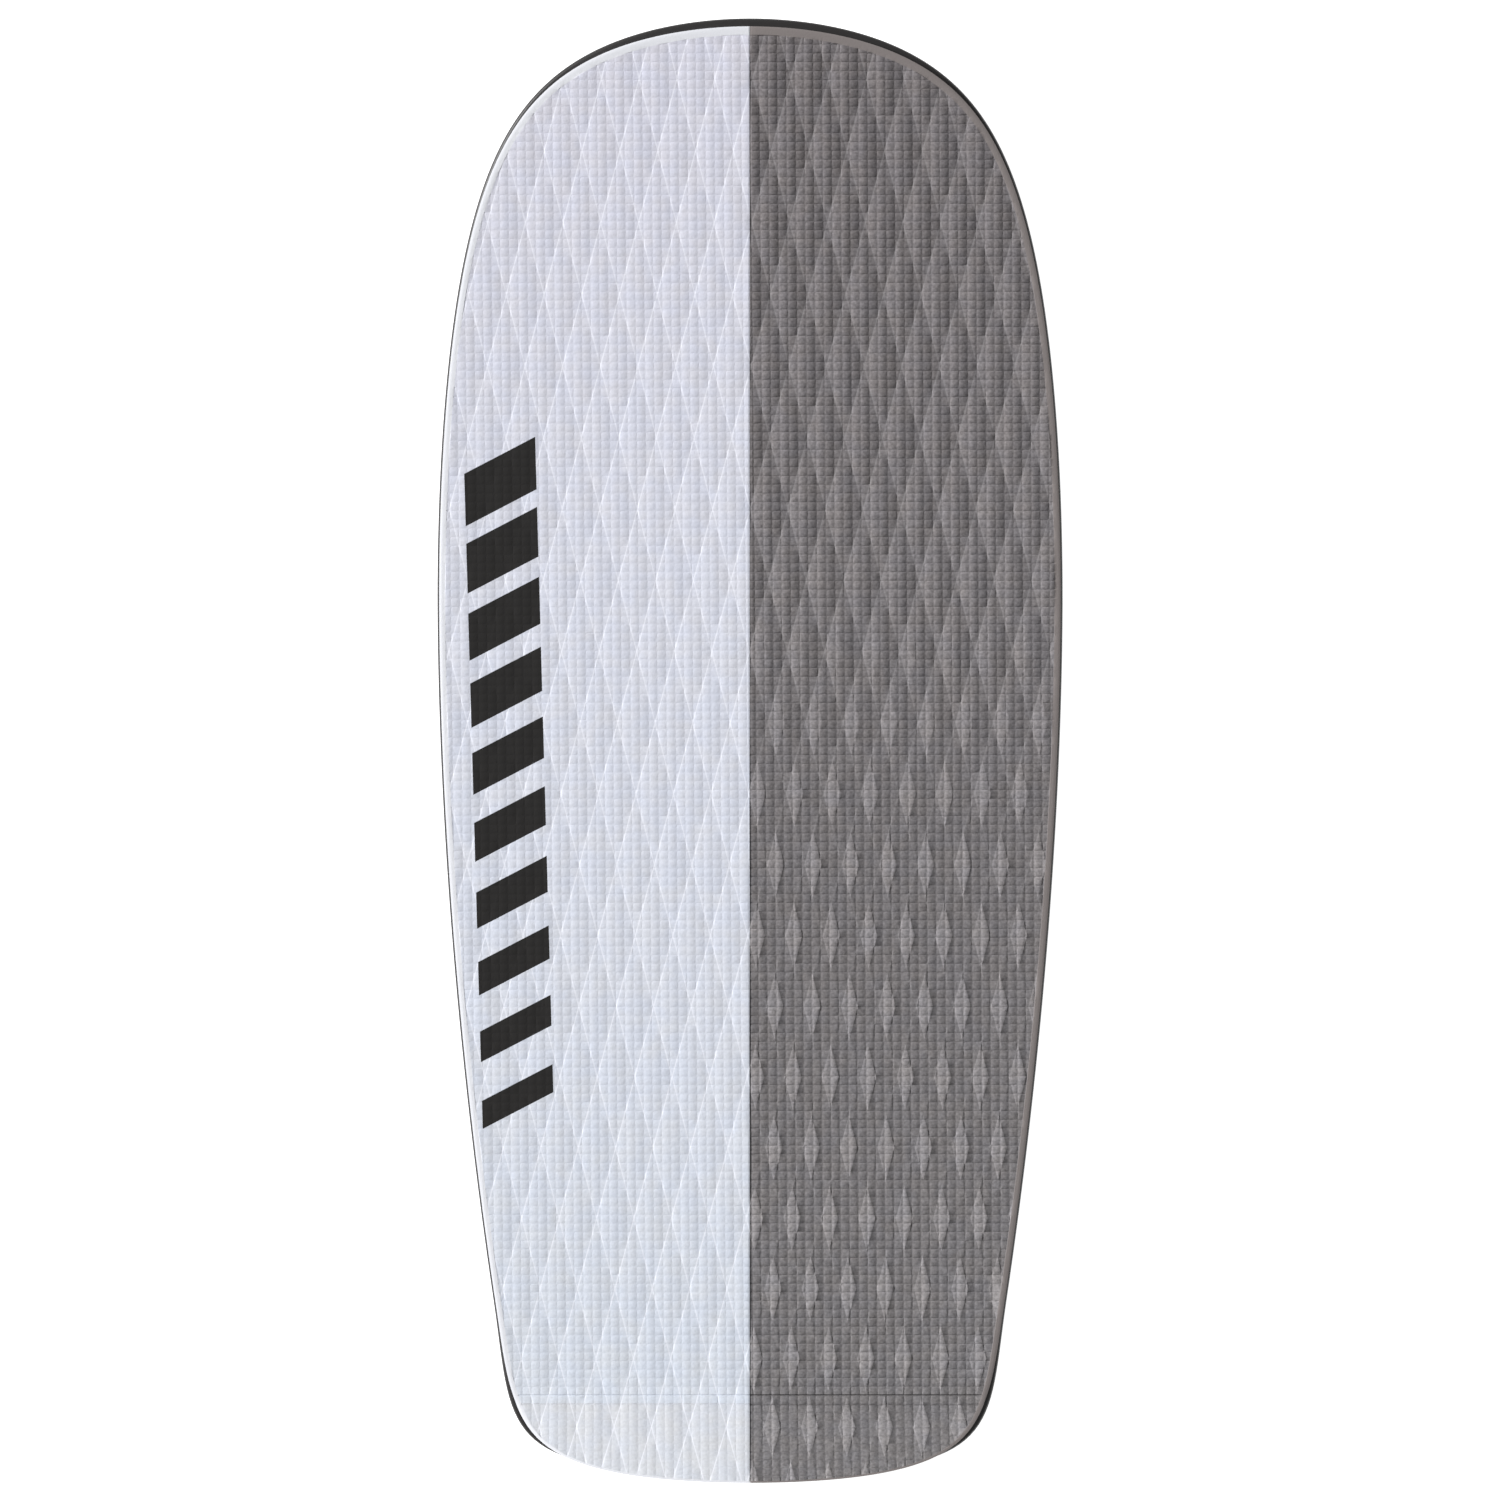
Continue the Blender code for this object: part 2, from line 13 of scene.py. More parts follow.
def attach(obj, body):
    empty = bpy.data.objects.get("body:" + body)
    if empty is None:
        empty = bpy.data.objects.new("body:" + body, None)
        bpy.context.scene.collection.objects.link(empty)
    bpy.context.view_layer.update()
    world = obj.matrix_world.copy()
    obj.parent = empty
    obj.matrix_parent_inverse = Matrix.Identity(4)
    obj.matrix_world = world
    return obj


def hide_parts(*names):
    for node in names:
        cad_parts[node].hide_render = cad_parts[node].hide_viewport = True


GAP = 0.0003

# Plan view of the board, as in the CAD: (half width, distance behind the nose or ahead of the tail)
NOSE_Y = 0.720
TAIL_Y = -0.400
HALF_WIDTH = 0.240
WIDEST_Y = NOSE_Y - 0.446
NOSE_CURVE = ((0, 0), (0.102, 0), (0.187, 0.040), (0.213, 0.080), (HALF_WIDTH, 0.235), (HALF_WIDTH, 0.446))
TAPER = 0.265
TAPER_POWER = 1.85
CORNER_Y = TAIL_Y + 0.136
CORNER_TANGENT = 0.098
TAIL_CURVE = ((0.195, 0.006), (0.105, 0), (0, 0))
NOSE_STEPS = 72
SIDE_STEPS = 30
CORNER_STEPS = 36

# Side view and rail section, as in the CAD
THICKNESS = 0.052
ROCKER_START_Y = 0.216
ROCKER_LIFT = 0.045
ROCKER_POWER = 2.2
DECK_RISE_START_Y = 0.300
DECK_RISE = 0.022
TAIL_THIN_START_Y = -0.165
TAIL_THIN = 0.008
DECK_EDGE_RADIUS = 0.003
DECK_EDGE_STEPS = 6
RAIL_APEX = 0.42
CHINE_WIDTH = 0.026
CHINE_POWER = 1.4
CHINE_STEPS = 12
SEAM_SHARE = 0.6
SEAM_GAP = 0.0002
SKIN = 0.0012
TRACK_X = 0.045
TRACK_LENGTH = 0.270
TRACK_WIDTH = 0.034
VENT_Y = 0.180
FLANGE_RADIUS = 0.015
OVERCUT = 0.005
CUTTER_SEGMENTS = 64
HULL_CRISP = radians(35)
MERGE_DISTANCE = 1e-7

# Deck pads, as in the CAD
PAD = 0.005
PAD_SIDE_INSET = 0.0018
PAD_HALF_WIDTH = HALF_WIDTH - PAD_SIDE_INSET
PAD_NOSE_CURVE = (
    (0, 0.0065),
    (0.0995, 0.0065),
    (0.1845, 0.0425),
    (0.2115, 0.0815),
    (PAD_HALF_WIDTH, 0.235),
    (PAD_HALF_WIDTH, 0.446),
)
PAD_TAIL_CURVE = ((0.186, 0.012), (0.090, 0.0006), (0, 0.0006))
KICK_ANGLE = radians(33)
CREASE_Y = TAIL_Y + 0.057
CREASE_ROUNDING = 0.004

# Square grooves: their pitch, where one of them lies, and the V section. Both sheets were cut slightly askew.
GROOVE_PITCH_X = 0.00685
GROOVE_PITCH_S = 0.00669
GROOVE_X = 0.0041
GROOVE_S = 0.2383
GROOVE_LEAN = 0.0094
GROOVE_HALF_X = 0.0009
GROOVE_HALF_S = 0.0008
CREASE_DEEPENING = 1.5

# Pressed diamonds: a lattice of two families of slanting lines, PX apart across and PS apart along
LATTICE_X = 0.0008
LATTICE_S = 0.4559
LATTICE_PX = 0.0288
LATTICE_PS = 0.1092
LATTICE_LEAN = -0.0058
STEP_HALF = 0.0007

# Relief of each half: groove depths, the step at a diamond's left edges, the rise to its ridge, the height of
# the small raised diamonds, and the angle above which an edge is shaded sharp
LIGHT_RELIEF = {
    "groove_x": 0.00022,
    "groove_s": 0.00024,
    "step": 0.00020,
    "rise": 0.0006,
    "plateau": 0.0,
    "crisp": radians(20),
}
DARK_RELIEF = {
    "groove_x": 0.0006,
    "groove_s": 0.0007,
    "step": 0.0006,
    "rise": 0.0018,
    "plateau": 0.00055,
    "crisp": radians(45),
}
RIDGE_ROUNDING = 0.60
RIDGE_PLACE = 0.42

# Small raised diamonds, in the left corners of the big ones. They take over from those between NONE_S and
# FULL_S. SIZE, LIP_WIDTH and LIP_FADE are shares of a big diamond's side, EDGE is half the width of the slope
# down to the sheet, and START is the height at the left corner as a share of that at the right one. The lip
# is what is left of a big diamond's step.
PLATEAU_SIZE = 0.46
PLATEAU_EDGE = 0.0003
PLATEAU_START = 0.35
PLATEAU_NONE_S = 0.275
PLATEAU_FULL_S = 0.045
LIP_WIDTH = 0.10
LIP_FADE = 0.25

# Smooth border round the grooved field
BORDER_NOSE = 0.0062
BORDER_SIDE = 0.0045
BORDER_TAIL = 0.0012
BORDER_FADE = 0.0006
BEVEL_DROP = 0.0006
BEVEL_WIDTH = 0.0025
SEAM_BEVEL = 0.0012
SEAM_DROP = 0.0005

# Printed stripe on the light half: slanted black bars
PRINT_X = (-0.2190, -0.1640)
PRINT_S = -0.130
PRINT_PITCH = 0.0515
PRINT_BARS = 10
PRINT_FILL = (0.42, 0.78)
PRINT_SLANT = 0.55
PRINT_LEAN = 0.026
PRINT_MARGIN = 0.001

# Colours of the foam: at the nose and the tail, on the smooth border, and on the pressed lines, with how much
# the lines cover. The other values are factors (1 is no change): painted light and painted shade on the two
# sides of a diamond, a painted highlight on the lit groove walls, painted shade on the part behind the
# crease, and the grain's share up or down.
LIGHT_FOAM = {
    "nose": (0.610, 0.612, 0.690, 1),
    "tail": (0.615, 0.658, 0.722, 1),
    "border": (0.70, 0.71, 0.75, 1),
    "line": (0.88, 0.89, 0.96, 1),
    "line_share": 0.65,
    "painted_shade_side": 0.98,
    "painted_light_side": 1.02,
    "groove": 1.03,
    "grain": 0.07,
    "kick": (0.975, 0.945, 0.915, 1),
}
DARK_FOAM = {
    "nose": (0.158, 0.1455, 0.149, 1),
    "tail": (0.199, 0.191, 0.195, 1),
    "border": (0.210, 0.187, 0.182, 1),
    "line": (0.26, 0.25, 0.255, 1),
    "line_share": 0.5,
    "painted_shade_side": 0.88,
    "painted_light_side": 1.13,
    "groove": 1.15,
    "grain": 0.28,
    "kick": (1, 1, 1, 1),
}
# Painted light: how much paler the small raised diamonds are made, as faces tilted to the key light
SMALL_DIAMOND_PAINTED_LIGHT = 1.52
PRINT_COLOUR = (0.0185, 0.0175, 0.017, 1)

# Where the painted tones lie: the painted light on a diamond's left side ends and the painted shade on its
# right one begins (0 is its left corner, 2 its right); the pressed lines, which are fainter in family a and
# fade out towards the tail of the dark half; and the painted highlight on the lit groove walls, which is
# fainter in the grooves that run across
PAINTED_LIGHT_UNTIL = 0.60
PAINTED_SHADE_FROM = 1.30
LINE_HALF = STEP_HALF * 0.9
LINE_SHARE_A = 0.75
LINES_GONE_S = PLATEAU_FULL_S - 0.15
LIT_WALL_PLACE = 0.6
CROSS_WALL_HIGHLIGHT = 0.6

# Blotches, grain and pores of the foam, and how the light meets it
BLOTCH_SIZE = 0.016
BLOTCH_RANGE = (0.35, 0.65)
COOL_TINT = (0.985, 0.99, 1.012, 1)
WARM_TINT = (1.015, 1.0, 0.985, 1)
GRAIN_SIZE = 0.0021
GRAIN_RANGE = (0.25, 0.75)
PORE_SIZE = 0.0012
PORE_DEPTH = 0.0002
FOAM_ROUGHNESS = 0.9
FOAM_SHINE = 0.25

# How far the roughness of the other materials varies
ROUGHNESS_SPREAD = 0.12

# Which CAD nodes stay visible, by their material
NODE_MATERIALS = {
    "wedge_eva": ("kick_wedge",),
    "dense_foam": ("track_block_left", "track_block_right"),
    "sandwich_foam": ("deck_sandwich_sheet", "bottom_sandwich_sheet"),
    "white_foam": ("foam_core",),
    "black_nylon": ("foil_track_left", "foil_track_right", "vent_plug", "membrane_retainer"),
    "stainless": (
        "track_nut_front_left",
        "track_nut_front_right",
        "track_nut_rear_left",
        "track_nut_rear_right",
    ),
    "brass": ("vent_insert",),
    "seal_rubber": ("vent_seal_ring",),
    "membrane_white": ("vent_membrane",),
}

# Camera, light and floor. The key light comes from the left, AZIMUTH towards the nose.
VIEW_CENTRE = (0.0, 0.1617, 0.052)
VIEW_DISTANCE = 5.0
VIEW_LEAN = radians(3)
VIEW_HEIGHT = 1.1520
SENSOR_MM = 36.0
KEY_AZIMUTH = radians(18)
KEY_ELEVATION = radians(34)
KEY_SOFTNESS = radians(26)
KEY_STRENGTH = 4.1
SKY_STRENGTH = 0.34
CLIP_END = 50
FLOOR_REACH = 12.0
FLOOR_DROP = 0.0005
FLOOR_GREY = 0.86
FLOOR_GLOW = 0.90


# Board lines, as in the CAD


def deck_z(y):
    if y > DECK_RISE_START_Y:
        along = (y - DECK_RISE_START_Y) / (NOSE_Y - DECK_RISE_START_Y)
        return THICKNESS + DECK_RISE * along**2
    if y < TAIL_THIN_START_Y:
        along = (TAIL_THIN_START_Y - y) / (TAIL_THIN_START_Y - TAIL_Y)
        return THICKNESS - TAIL_THIN * along**2
    return THICKNESS


def bottom_z(y):
    if y < ROCKER_START_Y:
        return 0.0
    along = (y - ROCKER_START_Y) / (NOSE_Y - ROCKER_START_Y)
    return ROCKER_LIFT * along**ROCKER_POWER


def superellipse(step, steps, power):
    angle = radians(90) * step / steps
    across, along = sin(angle), cos(angle)
    if step == steps:
        along = 0.0
    radius = (across**power + along**power) ** (-1 / power)
    return across * radius, along * radius


def bezier(points, share):
    points = [Vector(point) for point in points]
    while len(points) > 1:
        points = [start.lerp(end, share) for start, end in zip(points, points[1:])]
    return points[0]


def half_width(y):
    along = (WIDEST_Y - y) / (WIDEST_Y - TAIL_Y)
    return HALF_WIDTH * (1 - TAPER * along**TAPER_POWER)


def side_line(nose_curve=NOSE_CURVE, tail_curve=TAIL_CURVE, side_inset=0.0):
    """Points (x, y) down the right side, from the middle of the nose to the middle of the tail."""
    nose = [(x, NOSE_Y - behind) for x, behind in nose_curve]
    points = [bezier(nose, step / NOSE_STEPS) for step in range(NOSE_STEPS)]
    for step in range(SIDE_STEPS):
        y = WIDEST_Y + (CORNER_Y - WIDEST_Y) * step / SIDE_STEPS
        points.append(Vector((half_width(y) - side_inset, y)))
    slope = (half_width(CORNER_Y) - half_width(CORNER_Y + GAP)) / GAP
    corner_x = half_width(CORNER_Y) - side_inset
    leaving = (corner_x + slope * CORNER_TANGENT, CORNER_Y - CORNER_TANGENT)
    tail = [(x, TAIL_Y + ahead) for x, ahead in tail_curve]
    corner = [(corner_x, CORNER_Y), leaving, *tail]
    return points + [bezier(corner, step / CORNER_STEPS) for step in range(CORNER_STEPS + 1)]


def inward(points):
    """For each point but the first and last, the step that moves it one metre to the right of the
    path while both its edges stay parallel to themselves."""
    steps = []
    for before, here, after in zip(points, points[1:], points[2:]):
        normals = []
        for direction in ((here - before).normalized(), (after - here).normalized()):
            normals.append(Vector((direction.y, -direction.x)))
        total = normals[0] + normals[1]
        steps.append(total / (1 + normals[0].dot(normals[1])))
    return steps


def mirrored(point):
    return Vector((-point.x, point.y))


def inward_steps(side):
    return inward([mirrored(side[1]), *side, mirrored(side[-2])])


def rail_profile(height):
    """(inset, drop) pairs round the rail where the board is `height` thick."""
    points = []
    for step in range(DECK_EDGE_STEPS + 1):
        angle = radians(90) * step / DECK_EDGE_STEPS
        points.append(Vector((1 - sin(angle), 1 - cos(angle))) * DECK_EDGE_RADIUS)
    apex = RAIL_APEX * height
    for step in range(CHINE_STEPS + 1):
        down, out = superellipse(step, CHINE_STEPS, CHINE_POWER)
        points.append(Vector((CHINE_WIDTH * (1 - out), apex + (height - apex) * down)))
    return points


def hull_rings():
    side = side_line()
    columns = []
    for point, step in zip(side, inward_steps(side)):
        height = deck_z(point.y) - bottom_z(point.y)
        column = []
        for inset, drop in rail_profile(height):
            place = point + step * inset
            share = drop / height
            z = deck_z(place.y) * (1 - share) + bottom_z(place.y) * share
            column.append(Vector((place.x, place.y, z)))
        columns.append(column)
    return [list(ring) for ring in zip(*columns)]


def hull_loft(rings, cap_index):
    """A loft through right-hand rings and their mirror images, closed across one of them."""
    bm = bmesh.new()
    loops = []
    for right in rings:
        left = [Vector((-point.x, point.y, point.z)) for point in right[-2:0:-1]]
        loops.append([bm.verts.new(point) for point in right + left])
    count = len(loops[0])
    for upper, lower in zip(loops, loops[1:]):
        for index in range(count):
            following = (index + 1) % count
            bm.faces.new((upper[index], upper[following], lower[following], lower[index]))
    loop = loops[cap_index]
    half = count // 2
    bm.faces.new((loop[0], loop[1], loop[-1]))
    for index in range(1, half - 1):
        bm.faces.new((loop[index], loop[index + 1], loop[count - index - 1], loop[count - index]))
    bm.faces.new((loop[half - 1], loop[half], loop[half + 1]))
    return bm


# Objects


def new_object(name, mesh, material, body="board", replaced=()):
    piece = bpy.data.objects.new(name, mesh)
    bpy.context.scene.collection.objects.link(piece)
    mesh.materials.append(material)
    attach(piece, body)
    if replaced:
        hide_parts(*replaced)
    return piece


def smooth(mesh, angle):
    mesh.shade_smooth()
    mesh.set_sharp_from_angle(angle=angle)


def cutter(width, length, x, y):
    """An upright bar with half-round ends, used once as a Boolean cutter."""
    bm = bmesh.new()
    bmesh.ops.create_cone(
        bm, cap_ends=True, segments=CUTTER_SEGMENTS, radius1=width / 2, radius2=width / 2, depth=2 * OVERCUT
    )
    for vertex in bm.verts:
        vertex.co.y += copysign((length - width) / 2, vertex.co.y)
        vertex.co += Vector((x, y, 0))
    mesh = bpy.data.meshes.new("cutter")
    bm.to_mesh(mesh)
    bm.free()
    tool = bpy.data.objects.new("cutter", mesh)
    bpy.context.scene.collection.objects.link(tool)
    return tool


def apply_modifiers(piece):
    graph = bpy.context.evaluated_depsgraph_get()
    mesh = bpy.data.meshes.new_from_object(piece.evaluated_get(graph))
    piece.modifiers.clear()
    piece.data = mesh


def make_hull(material):
    """The deck and bottom skins, which meet in a fine seam on the rail."""
    rings = hull_rings()
    upper_rings = rings[: DECK_EDGE_STEPS + 1]
    lower_rings = rings[DECK_EDGE_STEPS + 1 :]
    seam = [high.lerp(low, SEAM_SHARE) for high, low in zip(upper_rings[-1], lower_rings[0])]
    half_gap = Vector((0, 0, SEAM_GAP / 2))
    upper_rings.append([point + half_gap for point in seam])
    lower_rings.insert(0, [point - half_gap for point in seam])
    openings = [
        cutter(TRACK_WIDTH + 2 * GAP, TRACK_LENGTH + 2 * GAP, -TRACK_X, 0),
        cutter(TRACK_WIDTH + 2 * GAP, TRACK_LENGTH + 2 * GAP, TRACK_X, 0),
        cutter(2 * (FLANGE_RADIUS + GAP), 2 * (FLANGE_RADIUS + GAP), 0, VENT_Y),
    ]
    for name, rings_used, cap_index, tools in (
        ("deck_shell", upper_rings, 0, []),
        ("bottom_shell", lower_rings, -1, openings),
    ):
        bm = hull_loft(rings_used, cap_index)
        bmesh.ops.recalc_face_normals(bm, faces=bm.faces)
        mesh = bpy.data.meshes.new(f"{name}_skin")
        bm.to_mesh(mesh)
        bm.free()
        piece = new_object(f"{name}_skin", mesh, material)
        skin = piece.modifiers.new("laminate", "SOLIDIFY")
        skin.thickness = SKIN
        skin.offset = -1
        skin.use_even_offset = True
        for tool in tools:
            boolean = piece.modifiers.new("opening", "BOOLEAN")
            boolean.object = tool
        apply_modifiers(piece)
        smooth(piece.data, HULL_CRISP)
        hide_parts(name)
    for tool in openings:
        bpy.data.objects.remove(tool, do_unlink=True)


# Deck pads. Their pattern is laid out in flat coordinates (x, s): s is y, measured along the bent sheet.


def unrolled(y):
    """The flat coordinate s of a place y along the board."""
    return np.where(y < CREASE_Y, CREASE_Y - (CREASE_Y - y) / cos(KICK_ANGLE), y)


def rolled(s):
    """The place y along the board of a flat coordinate s."""
    return np.where(s < CREASE_Y, CREASE_Y - (CREASE_Y - s) * cos(KICK_ANGLE), s)


def pad_outline(direction):
    """The sheet's outer edge (x, s) from nose to tail, and the step inwards at each of its points."""
    side = side_line(PAD_NOSE_CURVE, PAD_TAIL_CURVE, PAD_SIDE_INSET)
    for point in side:
        point.y = float(unrolled(point.y))
    steps = inward_steps(side)
    for end in (side[0], side[-1]):
        end.x = GAP
    edge = np.array(side)
    steps = np.array(steps)
    edge[:, 0] *= direction
    steps[:, 0] *= direction
    return edge, steps


def border_widths(steps):
    """The border is widest at the nose and almost gone at the tail."""
    to_tail = np.clip(steps[:, 1], 0, 1)
    to_nose = np.clip(-steps[:, 1], 0, 1)
    return BORDER_SIDE + (BORDER_NOSE - BORDER_SIDE) * to_nose**2 - (BORDER_SIDE - BORDER_TAIL) * to_tail


def lattice_coordinates(x, s):
    """(a, b) of a point: each counts the lines of one family, and both are whole where lines cross."""
    across = (x - LATTICE_X - LATTICE_LEAN * (LATTICE_S - s)) / LATTICE_PX
    along = (s - LATTICE_S) / LATTICE_PS
    return across + along, across - along


def lattice_point(a, b):
    """The place (x, s) of a point (a, b) of the lattice."""
    s = LATTICE_S + (a - b) / 2 * LATTICE_PS
    x = LATTICE_X + LATTICE_LEAN * (LATTICE_S - s) + (a + b) / 2 * LATTICE_PX
    return x, s


def line_numbers(low, high, first, pitch):
    """Numbers of the lines, `pitch` apart, from low to high. Number 0 lies at `first`."""
    return range(floor((low - first) / pitch), ceil((high - first) / pitch) + 1)


def pattern_lines(edge, relief):
    """Straight lines ((x, s), (x, s)) along every groove and lattice line that crosses the sheet."""
    low_x, high_x = edge[:, 0].min() - GAP, edge[:, 0].max() + GAP
    low_s, high_s = edge[:, 1].min() - GAP, edge[:, 1].max() + GAP
    lines = []

    def add(start, end):
        """Adds a line that is clipped to the sheet's width."""
        start, end = np.array(start), np.array(end)
        run = end[0] - start[0]
        shares = np.clip(sorted(((low_x - start[0]) / run, (high_x - start[0]) / run)), 0, 1)
        if shares[1] > shares[0]:
            lines.append((start + (end - start) * shares[0], start + (end - start) * shares[1]))

    span = GROOVE_LEAN * (high_s - low_s)
    for count in line_numbers(low_x - span, high_x + span, GROOVE_X, GROOVE_PITCH_X):
        for offset in (-GROOVE_HALF_X, 0, GROOVE_HALF_X):
            x = GROOVE_X + count * GROOVE_PITCH_X + offset
            start = (x + GROOVE_LEAN * (GROOVE_S - low_s), low_s)
            add(start, (x + GROOVE_LEAN * (GROOVE_S - high_s), high_s))
    for count in line_numbers(low_s, high_s, GROOVE_S, GROOVE_PITCH_S):
        for offset in (-GROOVE_HALF_S, 0, GROOVE_HALF_S):
            s = GROOVE_S + count * GROOVE_PITCH_S + offset
            lines.append((np.array((low_x, s)), np.array((high_x, s))))
    corners = [lattice_coordinates(x, s) for x in (low_x, high_x) for s in (low_s, high_s)]
    half = STEP_HALF / LATTICE_PX
    for family, direction in ((0, 1), (1, -1)):
        values = [corner[family] for corner in corners]
        for count in line_numbers(min(values), max(values), 0, 1):
            for offset in (-half, half):
                ends = []
                for s in (low_s, high_s):
                    along = (s - LATTICE_S) / LATTICE_PS * direction
                    shift = LATTICE_X + LATTICE_LEAN * (LATTICE_S - s)
                    ends.append((shift + (count + offset - along) * LATTICE_PX, s))
                add(*ends)
    if relief["plateau"]:
        lines += plateau_lines(corners, low_x, high_x)
    return lines


def plateau_lines(corners, low_x, high_x):
    """Both right-hand edges of every raised diamond, at its top and at its foot."""
    edge = PLATEAU_EDGE / LATTICE_PX
    lines = []
    all_a, all_b = zip(*corners)
    for a in line_numbers(min(all_a), max(all_a), 0, 1):
        for b in line_numbers(min(all_b), max(all_b), 0, 1):
            x, s = lattice_point(a, b)
            if not (low_x - LATTICE_PX < x < high_x and s < PLATEAU_NONE_S):
                continue
            for size in (PLATEAU_SIZE - edge, PLATEAU_SIZE + edge):
                corner = np.array(lattice_point(a + size, b + size))
                lines.append((np.array(lattice_point(a + size, b)), corner))
                lines.append((corner, np.array(lattice_point(a, b + size))))
    return lines


def smooth_min(first, second, rounding):
    """The lower of two heights, blended where they are within `rounding` of each other."""
    blend = np.clip(0.5 + 0.5 * (second - first) / rounding, 0, 1)
    return second * (1 - blend) + first * blend - rounding * blend * (1 - blend)


def diamond_height(a, b, plateau_share, relief):
    """Height inside one diamond, whose left corner is a = b = 0 and right corner a = b = 1."""
    top = relief["step"] + relief["rise"]
    left = relief["step"] + relief["rise"] * np.minimum(a, b) / RIDGE_PLACE
    right = top * np.minimum(1 - a, 1 - b) / (1 - RIDGE_PLACE)
    ridged = smooth_min(left, right, RIDGE_ROUNDING * top)
    if not relief["plateau"]:
        return ridged
    edge = PLATEAU_EDGE / LATTICE_PX
    outer = np.maximum(a, b)
    inside = np.clip((PLATEAU_SIZE + edge - outer) / (2 * edge), 0, 1)
    along = np.clip((a + b) / (2 * PLATEAU_SIZE), 0, 1)
    raised = relief["plateau"] * (PLATEAU_START + (1 - PLATEAU_START) * along) * inside
    near_left = np.clip(1 - np.minimum(a, b) / LIP_WIDTH, 0, 1)
    lip = relief["step"] * near_left * np.clip((1 - outer) / LIP_FADE, 0, 1)
    plain = np.maximum(raised, lip)
    return ridged * (1 - plateau_share) + plain * plateau_share


def lattice_height(x, s, relief):
    """Height of the pressed diamonds at any place: inside each one, and up the step from one to the next."""
    a, b = lattice_coordinates(x, s)
    off_a, off_b = a - np.round(a), b - np.round(b)
    half = STEP_HALF / LATTICE_PX
    weight_a = np.clip((off_a + half) / (2 * half), 0, 1)
    weight_b = np.clip((off_b + half) / (2 * half), 0, 1)
    share = np.clip((PLATEAU_NONE_S - s) / (PLATEAU_NONE_S - PLATEAU_FULL_S), 0, 1)
    share = share * share * (3 - 2 * share)
    sides_a = ((weight_a, np.maximum(off_a, 0)), (1 - weight_a, 1 + np.minimum(off_a, 0)))
    sides_b = ((weight_b, np.maximum(off_b, 0)), (1 - weight_b, 1 + np.minimum(off_b, 0)))
    height = 0
    for part_a, inside_a in sides_a:
        for part_b, inside_b in sides_b:
            height = height + part_a * part_b * diamond_height(inside_a, inside_b, share, relief)
    return height


def groove_depth(x, s, relief):
    """Depth of the square grooves: V sections, deeper where the sheet bends at the kick."""
    across = x - GROOVE_X - GROOVE_LEAN * (GROOVE_S - s)
    off_x = np.abs(across - np.round(across / GROOVE_PITCH_X) * GROOVE_PITCH_X)
    along = s - GROOVE_S
    off_s = np.abs(along - np.round(along / GROOVE_PITCH_S) * GROOVE_PITCH_S)
    bent = 1 + CREASE_DEEPENING * (np.abs(s - CREASE_Y) < GROOVE_PITCH_S)
    depth_x = relief["groove_x"] * np.clip(1 - off_x / GROOVE_HALF_X, 0, 1)
    depth_s = relief["groove_s"] * bent * np.clip(1 - off_s / GROOVE_HALF_S, 0, 1)
    return np.maximum(depth_x, depth_s)


def edge_distance(points, edge, widths):
    """Each point's distance from the sheet's outer edge, and the border's width at the nearest place."""
    nearest = np.full(len(points), np.inf)
    width = np.zeros(len(points))
    for start, end, near_width in zip(edge, edge[1:], widths):
        along = end - start
        share = np.clip(((points - start) @ along) / (along @ along), 0, 1)
        distance = np.linalg.norm(points - start - share[:, None] * along, axis=1)
        closer = distance < nearest
        nearest[closer] = distance[closer]
        width[closer] = near_width
    return nearest, width


def underside_z(y):
    """Height of the face that is glued down: the deck's skin, or the wedge's top under the kick."""
    ahead = CREASE_Y - y
    kick = (ahead + np.sqrt(ahead**2 + CREASE_ROUNDING**2)) / 2 * tan(KICK_ANGLE)
    return np.array([deck_z(value) for value in y]) + GAP + kick


def pad_surface(x, s, height):
    """Places flat points on the bent sheet, `height` above its top and square to it."""
    y = rolled(s)
    slope = np.where(s < CREASE_Y, KICK_ANGLE, 0.0)
    z = underside_z(y) + PAD + height * np.cos(slope)
    return np.stack((x, y + height * np.sin(slope), z), axis=1)


def closed_sheet(name, flat, top, faces, outline):
    """A mesh of the top surface, a wall round its edge and strips across its underside."""
    edges = {(start, end) for face in faces for start, end in zip(face, face[1:] + face[:1])}
    border = sorted((start, end) for start, end in edges if (end, start) not in edges)
    rim = sorted({index for pair in border for index in pair})
    lowered = {index: len(top) + place for place, index in enumerate(rim)}
    walls = [(end, start, lowered[start], lowered[end]) for start, end in border]
    seam = outline.copy()
    seam[:, 0] = outline[0, 0]
    under_flat = np.vstack((flat[rim], outline, seam))
    under_y = rolled(under_flat[:, 1])
    under = np.stack((under_flat[:, 0], under_y, underside_z(under_y)), axis=1)
    outer_start = len(top) + len(rim)
    inner_start = outer_start + len(outline)
    strips = []
    for index in range(len(outline) - 1):
        outer, inner = outer_start + index, inner_start + index
        strip = (outer, outer + 1, inner + 1, inner)
        strips.append(strip if outline[1, 0] > 0 else strip[::-1])
    mesh = bpy.data.meshes.new(name)
    mesh.from_pydata(np.vstack((top, under)).tolist(), [], [*faces, *walls, *strips])
    all_flat = np.vstack((flat, under_flat))
    loops = np.empty(len(mesh.loops), dtype=int)
    mesh.loops.foreach_get("vertex_index", loops)
    pattern = mesh.uv_layers.new(name="pattern")
    pattern.data.foreach_set("uv", all_flat[loops].ravel())
    return mesh


